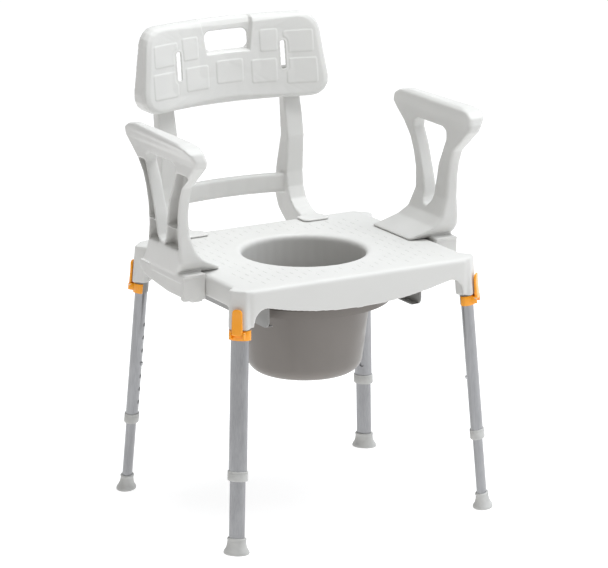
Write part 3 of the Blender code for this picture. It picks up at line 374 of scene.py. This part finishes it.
def paint(piece, finish):
    piece.data.materials.clear()
    piece.data.materials.append(FINISHES[finish])
    return piece


def fit(piece, body, slot, *nodes):
    """The piece rides on a body and stands for its CAD nodes, which it hides; slot is not used."""
    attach(piece, body)
    if nodes:
        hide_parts(*nodes)


def crisp(name, mesh, finish, angle=35.0):
    """A piece from a mesh that already has its final shape."""
    mesh.shade_smooth()
    mesh.set_sharp_from_angle(angle=math.radians(angle))
    return paint(place(name, mesh), finish)


# ---- legs ----------------------------------------------------------------------------------------
def leg_matrix(corner):
    """A leg's frame: Z up the leg, X outwards along the corner's diagonal, origin on the floor."""
    side, end = CORNERS[corner]
    up = -Vector(JOINTS[f"height_{corner}"]["axis"])
    out = Vector((side, end, 0.0)).normalized()
    out = (out - up * out.dot(up)).normalized()
    matrix = Matrix((out, up.cross(out), up)).transposed().to_4x4()
    matrix.translation = FOOT_MIDDLES[corner]
    matrix.translation.z = 0.0
    return matrix


def measure(node, matrix):
    """A CAD node's lowest and highest corner in a frame."""
    home = matrix.inverted()
    spots = [home @ vertex.co for vertex in frame["nodes"][node].data.vertices]
    low = Vector(min(spot[k] for spot in spots) for k in range(3))
    high = Vector(max(spot[k] for spot in spots) for k in range(3))
    return low, high


TUBE_WALL = 0.0013
TUBE_LIP = 0.0004
HEIGHT_HOLE = 0.0041
HOLE_PITCH, HOLE_STEPS = 0.025, 3
FOOT_LEVEL = 0.010


def tube_mesh(name, node, matrix, holes):
    """An oval tube with rolled ends and round holes on its inward face."""
    low, high = measure(node, matrix)
    sizes = (high.x - low.x, high.y - low.y)
    profile = [(-TUBE_LIP, low.z), (0.0, low.z + TUBE_LIP), (0.0, high.z - TUBE_LIP), (-TUBE_LIP, high.z),
               (-TUBE_WALL, high.z - TUBE_LIP), (-TUBE_WALL, low.z + TUBE_LIP)]
    mesh = oval_sweep(name, sizes, profile, matrix)
    face = sizes[0] / 2
    cuts = [("DIFFERENCE", rod(f"{name}_{k}", HEIGHT_HOLE, (-face * 1.4, 0, z), (-face * 0.6, 0, z), 24, matrix))
            for k, z in enumerate(holes)]
    return carve(name, mesh, cuts)


def build_leg(corner):
    matrix = leg_matrix(corner)
    low, high = measure(f"snap_button_{corner}", matrix)
    button = (low.z + high.z) / 2
    holes = [button + HOLE_PITCH * step for step in range(-HOLE_STEPS, HOLE_STEPS + 1)]
    upper = crisp(f"outer_tube_{corner}", tube_mesh(f"outer_{corner}", f"upper_tube_{corner}", matrix, holes),
                  "aluminium")
    fit(upper, f"upper_leg_{corner}", "anodised_aluminium", f"upper_tube_{corner}")
    lower = crisp(f"inner_tube_{corner}", tube_mesh(f"inner_{corner}", f"lower_tube_{corner}", matrix, [button]),
                  "aluminium")
    fit(lower, f"lower_leg_{corner}", "anodised_aluminium", f"lower_tube_{corner}")

    low, high = measure(f"lower_tube_{corner}", matrix)
    inner = (high.x - low.x, high.y - low.y)
    upper_low, upper_high = measure(f"upper_tube_{corner}", matrix)
    outer = (upper_high.x - upper_low.x, upper_high.y - upper_low.y)
    ring_low, ring_high = measure(f"collar_{corner}", matrix)
    step_in = (outer[0] - inner[0]) / 2
    wall, z0, z1 = 0.0021, ring_low.z, ring_high.z
    seat = upper_low.z - 0.0002
    profile = [(-step_in + 0.0003, z0), (wall - 0.0012, z0), (wall - 0.0004, z0 + 0.0005), (wall, z0 + 0.0016),
               (wall, z1 - 0.0040), (wall - 0.0005, z1 - 0.0034), (wall - 0.0005, z1 - 0.0030), (wall, z1 - 0.0024),
               (wall, z1 - 0.0012), (wall - 0.0006, z1 - 0.0003), (wall - 0.0014, z1), (0.0002, z1), (0.0002, seat),
               (-step_in + 0.0003, seat)]
    collar = crisp(f"ring_collar_{corner}", oval_sweep(f"ring_{corner}", outer, profile, matrix), "rubber", 50)
    fit(collar, f"upper_leg_{corner}", "foot_plastic", f"collar_{corner}")

    neck, flare, top = 0.0026, 0.0093, 0.0290
    profile = [(None, 0.0), (flare - 0.0016, 0.0), (flare - 0.0004, 0.0006), (flare, 0.0020),
               (flare - 0.0002, 0.0038),
               (flare * 0.86, 0.0062), (flare * 0.66, 0.0090), (flare * 0.50, 0.0120), (flare * 0.39, 0.0155),
               (flare * 0.32, 0.0195), (neck, 0.0238), (neck, 0.0250),
               (neck + 0.0007, 0.0256), (neck + 0.0007, 0.0274),
               (neck, 0.0284), (neck - 0.0007, top), (0.0002, top), (0.0002, low.z), (None, low.z)]
    foot = crisp(f"flared_foot_{corner}", oval_sweep(f"flared_{corner}", inner, profile, matrix, FOOT_LEVEL),
                 "rubber", 50)
    fit(foot, f"lower_leg_{corner}", "foot_plastic", f"foot_{corner}")


def build_lever(corner):
    """The clip lever: a thumb tab, thick at its heel, waisted, with a lip curling out at its tip."""
    matrix = leg_matrix(corner)
    low, high = measure(f"clip_lever_{corner}", matrix)
    middle = (low.x + high.x) / 2
    half_width = (high.y - low.y) / 2
    length = high.z - low.z
    stations = [
        # share of length, half-width, inner face, outer face
        (0.000, 0.60, -0.0014, 0.0014), (0.012, 0.86, -0.0024, 0.0024), (0.045, 0.98, -0.0030, 0.0030),
        (0.120, 1.00, -0.0030, 0.0030), (0.220, 1.00, -0.0024, 0.0029), (0.420, 0.98, -0.0019, 0.0026),
        (0.620, 0.96, -0.0018, 0.0025), (0.800, 0.94, -0.0016, 0.0028), (0.900, 0.88, -0.0010, 0.0031),
        (0.960, 0.72, -0.0002, 0.0032), (0.990, 0.50, 0.0008, 0.0030), (1.000, 0.26, 0.0014, 0.0024)]
    rings = []
    for share, wide, inside, outside in smooth_line(stations, 3):
        z = low.z + length * max(0.0, min(1.0, share))
        half = half_width * wide
        ring = rounded(rectangle(middle + inside, middle + outside, -half, half), (outside - inside) * 0.42, 4)
        rings.append([Vector((p.x, p.y, z)) for p in ring])
    lever = crisp(f"thumb_lever_{corner}", loft(f"thumb_{corner}", rings, matrix), "orange", 60)
    fit(lever, f"clip_lever_{corner}", "orange_plastic", f"clip_lever_{corner}")


def refined(node, name, width, segments=2, angle=30.0):
    """A CAD node's shape again, with its flat facets joined and its edges radiused."""
    bm = bmesh.new()
    bm.from_mesh(frame["nodes"][node].data)
    bmesh.ops.remove_doubles(bm, verts=bm.verts, dist=0.00002)
    bmesh.ops.dissolve_limit(bm, angle_limit=math.radians(1.5), verts=bm.verts, edges=bm.edges)
    piece = place(name, mesh_from(bm, name))
    bevel = piece.modifiers.new("radius", "BEVEL")
    bevel.width = width
    bevel.segments = segments
    bevel.limit_method = "ANGLE"
    bevel.angle_limit = math.radians(angle)
    piece.data = evaluated(piece)
    piece.modifiers.clear()
    piece.data.shade_smooth()
    piece.data.set_sharp_from_angle(angle=math.radians(40))
    return piece


# ---- seat ----------------------------------------------------------------------------------------
def build_seat():
    """The seat, with its splash wall brought down close over the bucket's rim."""
    low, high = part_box("bucket")[1][2] + SPLASH_GAP, SEAT_TOP - SPLASH_DEPTH + SPLASH_LAP
    wall = [(HOLE_RADIUS, low), (HOLE_RADIUS + SEAT_WALL, low), (HOLE_RADIUS + SEAT_WALL, high), (HOLE_RADIUS, high)]
    ring = turned("splash", wall, 96, CHAIR @ Matrix.Translation((0.0, HOLE_Y, 0.0)))
    seat = mould("seat_moulding", solid("seat_shell"), [("UNION", ring)], 0.0019, 14, "white")
    fit(seat, "seat", "white_plastic", "seat_shell")


MARK_PITCH_X, MARK_PITCH_Y = 0.0185, 0.0300
MARK_WIDTH, MARK_LENGTH, MARK_HEIGHT = 0.0020, 0.0180, 0.00055
MARK_SINK = 0.00005     # how far the marks' middles lie under the seat top
MARK_STEPS = 8          # marks either side of the middle of a row
MARKS_CLEAR_SIDE, MARKS_CLEAR_FRONT, MARKS_CLEAR_REAR, MARKS_CLEAR_HOLE = 0.030, 0.030, 0.022, 0.014
ARM_PAD_X, ARM_PAD_FRONT, ARM_PAD_REAR = 0.180, -0.075, 0.115      # the arms stand on the seat here
BACK_PAD_X, BACK_PAD_DEPTH = 0.090, 0.060                          # and the backrest here


def seat_is_bare(x, y):
    """Whether the seat top at a point is clear of its edges, its opening, the arms and the backrest."""
    if abs(x) > SEAT_HALF - MARKS_CLEAR_SIDE:
        return False
    if not SEAT_FRONT + MARKS_CLEAR_FRONT < y < SEAT_REAR - MARKS_CLEAR_REAR:
        return False
    if abs(x) > ARM_PAD_X and ARM_PAD_FRONT < y < ARM_PAD_REAR:
        return False
    if abs(x) > BACK_PAD_X and y > SEAT_REAR - BACK_PAD_DEPTH:
        return False
    return math.hypot(x, y - HOLE_Y) >= HOLE_RADIUS + RIM_ROUND + MARKS_CLEAR_HOLE


def build_seat_marks():
    """Short raised grip bars on the seat top, in staggered rows like brick joints."""
    bm = bmesh.new()
    shape = Matrix.Diagonal((MARK_WIDTH / 2, MARK_LENGTH / 2, MARK_HEIGHT, 1.0))
    rows = round(2 * SEAT_HALF / MARK_PITCH_X)
    for row in range(rows):
        x = (row - (rows - 1) / 2) * MARK_PITCH_X
        for step in range(-MARK_STEPS, MARK_STEPS + 1):
            y = (step + (row % 2) * 0.5) * MARK_PITCH_Y
            if not seat_is_bare(x, y):
                continue
            made = bmesh.ops.create_uvsphere(bm, u_segments=10, v_segments=6, radius=1.0)["verts"]
            spot = CHAIR @ Matrix.Translation((x, y, SEAT_TOP - MARK_SINK))
            bmesh.ops.transform(bm, matrix=spot @ shape, verts=made)
    marks = place("seat_grip_bars", mesh_from(bm, "seat_grip_bars"))
    marks.data.shade_smooth()
    paint(marks, "white")
    fit(marks, "seat", "white_plastic")


# ---- arms and backrest ---------------------------------------------------------------------------
FLANGE_Y, FLANGE_TOP, FLANGE_SHARE = -0.060, 0.482, 0.40


def build_arm(name):
    def tuck(spot, _):
        """Draw the front flange back against the blade."""
        ahead = FLANGE_Y - (spot.y - MIDDLE.y)
        if ahead > 0.0:
            spot.y += ahead * (1.0 - FLANGE_SHARE) * (1.0 - ease(FLANGE_TOP - 0.010, FLANGE_TOP + 0.010, spot.z))
        return spot
    arm = mould(f"arm_moulding_{name}", solid(f"arm_{name}"), [], 0.0015, 18, "white_inside", tuck)
    fit(arm, f"arm_{name}", "white_plastic", f"arm_{name}")
    receiver = mould(f"arm_receiver_{name}", solid(f"arm_socket_{name}"), [], 0.0012, 4, "white_inside")
    fit(receiver, "seat", "white_plastic", f"arm_socket_{name}")


def build_backrest_frame():
    backrest = mould("backrest_uprights", solid("backrest_frame"), [], 0.0018, 10, "white")
    fit(backrest, "backrest", "white_plastic", "backrest_frame")


PANEL_LOW, PANEL_BEND, PANEL_Y, PANEL_LEAN = 0.6950, 0.570, 0.2660, 0.125
SLOT_X, SLOT_LOW, SLOT_HIGH, SLOT_HALF = 0.110, 0.7550, 0.7990, 0.0040
SLOT_RIM = 0.0125       # the tiles stop this far from a slot's middle line
TILE_HEIGHT, TILE_EDGE, TILE_CORNER = 0.0010, 0.0026, 0.0055
# middle x, middle z, half-width, half-height of each tile; those off the middle are mirrored
TILES = [(0.0, 0.7556, 0.0290, 0.0222), (0.0710, 0.7500, 0.0262, 0.0228), (0.1440, 0.7460, 0.0300, 0.0245),
         (0.1400, 0.8010, 0.0290, 0.0215), (0.0830, 0.8060, 0.0185, 0.0215)]


def panel_front(x, z):
    """Y of the panel's front face: leaning back and curved round the sitter."""
    return PANEL_Y + PANEL_LEAN * (z - PANEL_LOW) - PANEL_BEND + math.sqrt(PANEL_BEND ** 2 - x * x)


def box_distance(x, z, half_x, half_z, corner):
    """Distance to a rounded rectangle at the origin; negative inside."""
    dx, dz = abs(x) - half_x + corner, abs(z) - half_z + corner
    return math.hypot(max(dx, 0.0), max(dz, 0.0)) + min(max(dx, dz), 0.0) - corner


def tile_rise(x, z):
    """How far the face stands out at a point: raised tiles with rounded borders, and a lip round each slot."""
    nearest = 1.0
    for mid_x, mid_z, half_x, half_z in TILES:
        for sign in (1, -1):
            nearest = min(nearest, box_distance(sign * x - mid_x, z - mid_z, half_x, half_z, TILE_CORNER))
    away = math.hypot(abs(x) - SLOT_X, z - max(SLOT_LOW, min(SLOT_HIGH, z)))
    tile = (1.0 - ease(-TILE_EDGE, 0.0, nearest)) * ease(SLOT_RIM - TILE_EDGE, SLOT_RIM, away)
    lip = 0.7 * math.exp(-((away - SLOT_HALF - 0.0022) / 0.0014) ** 2)
    return TILE_HEIGHT * (tile + lip)


RECESS_LOW, RECESS_HIGH, RECESS_HALF_LOW, RECESS_HALF_HIGH = 0.7890, 0.8530, 0.0460, 0.0560
RECESS_DEPTH, RECESS_SLOPE = 0.0085, 0.0035


def recess_share(x, z):
    """1 inside the finger recess round the hand grip, 0 outside it, with sloping walls between."""
    rise = (z - RECESS_LOW) / (RECESS_HIGH - RECESS_LOW)
    outside = max(abs(x) - RECESS_HALF_LOW - (RECESS_HALF_HIGH - RECESS_HALF_LOW) * rise, RECESS_LOW - z)
    return 1.0 - ease(-RECESS_SLOPE, 0.0, outside)


def build_panel():
    def emboss(spot, normal):
        local = spot - MIDDLE
        behind = local.y - panel_front(local.x, local.z)
        set_back = recess_share(local.x, local.z) * (1.0 - ease(0.010, 0.026, behind))
        if set_back > 0.0:
            spot.y += RECESS_DEPTH * set_back
            return spot
        if normal.y > -0.75 or local.y > panel_front(local.x, local.z) + 0.003:
            return spot
        return spot + normal * tile_rise(local.x, local.z)
    panel = mould("backrest_panel", solid("back_panel"), [], 0.00125, 9, "white", emboss)
    fit(panel, "backrest", "white_plastic", "back_panel")


# ---- bucket --------------------------------------------------------------------------------------
BUCKET_Y, BUCKET_RADIUS, BUCKET_TAPER, BUCKET_FOOT, BUCKET_WALL = -0.005, 0.120, 0.014, 0.026, 0.0028
BUCKET_SIDES = 144
RIM_RADIUS, RIM_FLAT, RIM_Y = 0.165, 0.1535, 0.013     # the rim is round, but cut flat at the runners
RIM_EDGE = 0.0035
RIM_OVER_RUNNER = 0.0033    # underside of the rim above the underside of the runners
MOUTH_DEPTH, MOUTH_FLARE = 0.004, 0.0035               # chamfer round the bucket's mouth
HAIR = 0.0005               # keeps two joined faces out of one plane


def rim_outline(inset, z, steps=32):
    ring_radius, flat = RIM_RADIUS - inset, RIM_FLAT - inset
    sweep = math.pi / 2 - math.acos(flat / ring_radius)
    points = []
    for middle in (math.pi / 2, -math.pi / 2):
        for k in range(steps + 1):
            a = middle - sweep + 2 * sweep * k / steps
            points.append(Vector((ring_radius * math.cos(a), RIM_Y + ring_radius * math.sin(a), z)))
    return points


def bucket_side(inset, bottom, top):
    """The bucket's (radius, height) profile from the middle of its bottom up to its rim."""
    foot = BUCKET_RADIUS - BUCKET_TAPER - BUCKET_FOOT
    curve = [(foot + (BUCKET_FOOT - inset) * math.sin(a),
              bottom + BUCKET_FOOT - (BUCKET_FOOT - inset) * math.cos(a)) for a in quarter(10)]
    return [(0.0, bottom + inset)] + curve + [(BUCKET_RADIUS - inset, top)]


def build_bucket():
    low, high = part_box("bucket")
    bottom, rim = low[2], high[2]
    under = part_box("bucket_runner_left")[0][2] + RIM_OVER_RUNNER
    at_bucket = CHAIR @ Matrix.Translation((0.0, BUCKET_Y, 0.0))
    outer = [rim_outline(0.0, under)]
    outer += [rim_outline(RIM_EDGE * (1 - math.cos(a)), rim - RIM_EDGE * (1 - math.sin(a))) for a in quarter(4)]
    mesh = loft("flange", outer, at_bucket)
    hollow = loft("flange_under", [rim_outline(BUCKET_WALL, under - FAR), rim_outline(BUCKET_WALL, rim - BUCKET_WALL)],
                  at_bucket)
    outside = bucket_side(0.0, bottom, under) + [(BUCKET_RADIUS, rim - HAIR), (0.0, rim - HAIR)]
    pan = turned("pan", outside, BUCKET_SIDES, at_bucket)
    mouth = BUCKET_RADIUS - BUCKET_WALL
    inside = bucket_side(BUCKET_WALL, bottom, under)
    inside += [(mouth, rim - MOUTH_DEPTH), (mouth + MOUTH_FLARE, rim + HAIR), (mouth + MOUTH_FLARE, rim + FAR),
               (0.0, rim + FAR)]
    room = turned("room", inside, BUCKET_SIDES, at_bucket)
    made = carve("bucket_mesh", mesh, [("DIFFERENCE", hollow), ("UNION", pan), ("DIFFERENCE", room)])
    bucket = crisp("pan_bucket", made, "bucket", 40)
    fit(bucket, "bucket", "bucket_plastic", "bucket")


# ---- camera, lights and floor --------------------------------------------------------------------
CAMERA_SPOT = Vector((-3.3070, -5.7194, 2.2106))      # in the chair's frame
CAMERA_AZIMUTH, CAMERA_DOWN = 30.05, 15.25            # degrees
CAMERA_LENS = 222.33


def build_camera():
    data = bpy.data.cameras.new("camera")
    data.sensor_fit = "HORIZONTAL"
    data.sensor_width = 36.0
    data.lens = CAMERA_LENS
    camera = bpy.data.objects.new("camera", data)
    bpy.context.scene.collection.objects.link(camera)
    turn, down = math.radians(CAMERA_AZIMUTH), math.radians(CAMERA_DOWN)
    ahead = Vector((math.sin(turn) * math.cos(down), math.cos(turn) * math.cos(down), -math.sin(down)))
    aim = ahead.to_track_quat("-Z", "Y").to_matrix().to_4x4()
    camera.matrix_world = Matrix.Translation(CHAIR @ CAMERA_SPOT) @ aim
    bpy.context.scene.camera = camera


def area_light(name, spot, aim, size, energy, colour):
    data = bpy.data.lights.new(name, "AREA")
    data.shape = "SQUARE"
    data.size = size
    data.energy = energy
    data.color = colour
    light = bpy.data.objects.new(name, data)
    bpy.context.scene.collection.objects.link(light)
    light.location = spot
    light.rotation_euler = (Vector(aim) - Vector(spot)).to_track_quat("-Z", "Y").to_euler()


def build_world():
    """A studio that is white overhead and bluish on the right, and dimmer and warmer on the left."""
    world = bpy.data.worlds.new("studio")
    world.use_nodes = True
    tree = world.node_tree
    bpy.context.scene.world = world
    place_node = tree.nodes.new("ShaderNodeTexCoord")
    toward = tree.nodes.new("ShaderNodeVectorMath")
    toward.operation = "DOT_PRODUCT"
    toward.inputs[1].default_value = Vector((0.72, 0.22, 0.66)).normalized()
    tree.links.new(place_node.outputs["Generated"], toward.inputs[0])
    spread = tree.nodes.new("ShaderNodeMapRange")
    spread.inputs["From Min"].default_value = -1.0
    tree.links.new(toward.outputs["Value"], spread.inputs["Value"])
    ramp = tree.nodes.new("ShaderNodeValToRGB")
    ramp.color_ramp.elements[0].color = (0.34, 0.31, 0.285, 1.0)
    ramp.color_ramp.elements[1].color = (0.97, 1.00, 1.04, 1.0)
    ramp.color_ramp.elements.new(0.45).color = (0.50, 0.49, 0.475, 1.0)
    tree.links.new(spread.outputs["Result"], ramp.inputs["Fac"])
    tree.links.new(ramp.outputs["Color"], tree.nodes["Background"].inputs["Color"])
    tree.nodes["Background"].inputs["Strength"].default_value = 0.60


def build_floor():
    bm = bmesh.new()
    bmesh.ops.create_grid(bm, x_segments=1, y_segments=1, size=40.0)
    floor = place("studio_floor", mesh_from(bm, "studio_floor"))
    material, tree, shader = shader_tree("pale_floor")
    shader.inputs["Base Color"].default_value = (0.50, 0.50, 0.50, 1.0)
    shader.inputs["Emission Color"].default_value = (1.0, 1.0, 1.0, 1.0)
    shader.inputs["Emission Strength"].default_value = 0.74
    shader.inputs["Roughness"].default_value = 0.9
    shader.inputs["Specular IOR Level"].default_value = 0.1
    floor.data.materials.append(material)


# ---- everything ----------------------------------------------------------------------------------
build_camera()
build_world()
build_floor()
area_light("overhead", (0.6, -0.4, 4.0), (0.0, 0.0, 0.4), 3.2, 152.0, (0.97, 0.99, 1.0))
area_light("right", (3.2, -1.6, 1.6), (0.0, 0.0, 0.5), 1.6, 26.0, (0.92, 0.96, 1.0))

build_seat()
build_seat_marks()
for side_name in SIDES:
    build_arm(side_name)
build_backrest_frame()
build_panel()
build_bucket()
for corner_name in CORNERS:
    build_leg(corner_name)
    build_lever(corner_name)
    band = paint(refined(f"clip_band_{corner_name}", f"clip_collar_{corner_name}", 0.0005), "orange")
    fit(band, "seat", "orange_plastic", f"clip_band_{corner_name}")
for side_name in SIDES:
    rail = paint(refined(f"bucket_runner_{side_name}", f"runner_rail_{side_name}", 0.0007), "grey")
    fit(rail, "seat", "grey_plastic", f"bucket_runner_{side_name}")

for node_name, node in frame["nodes"].items():
    if node_name.startswith("socket_sleeve"):
        paint(node, "grey")
    elif node_name.startswith(("lever_pin", "button_spring", "snap_button", "runner_screw", "panel_screw")):
        paint(node, "steel")

bpy.context.scene.view_settings.view_transform = "Standard"
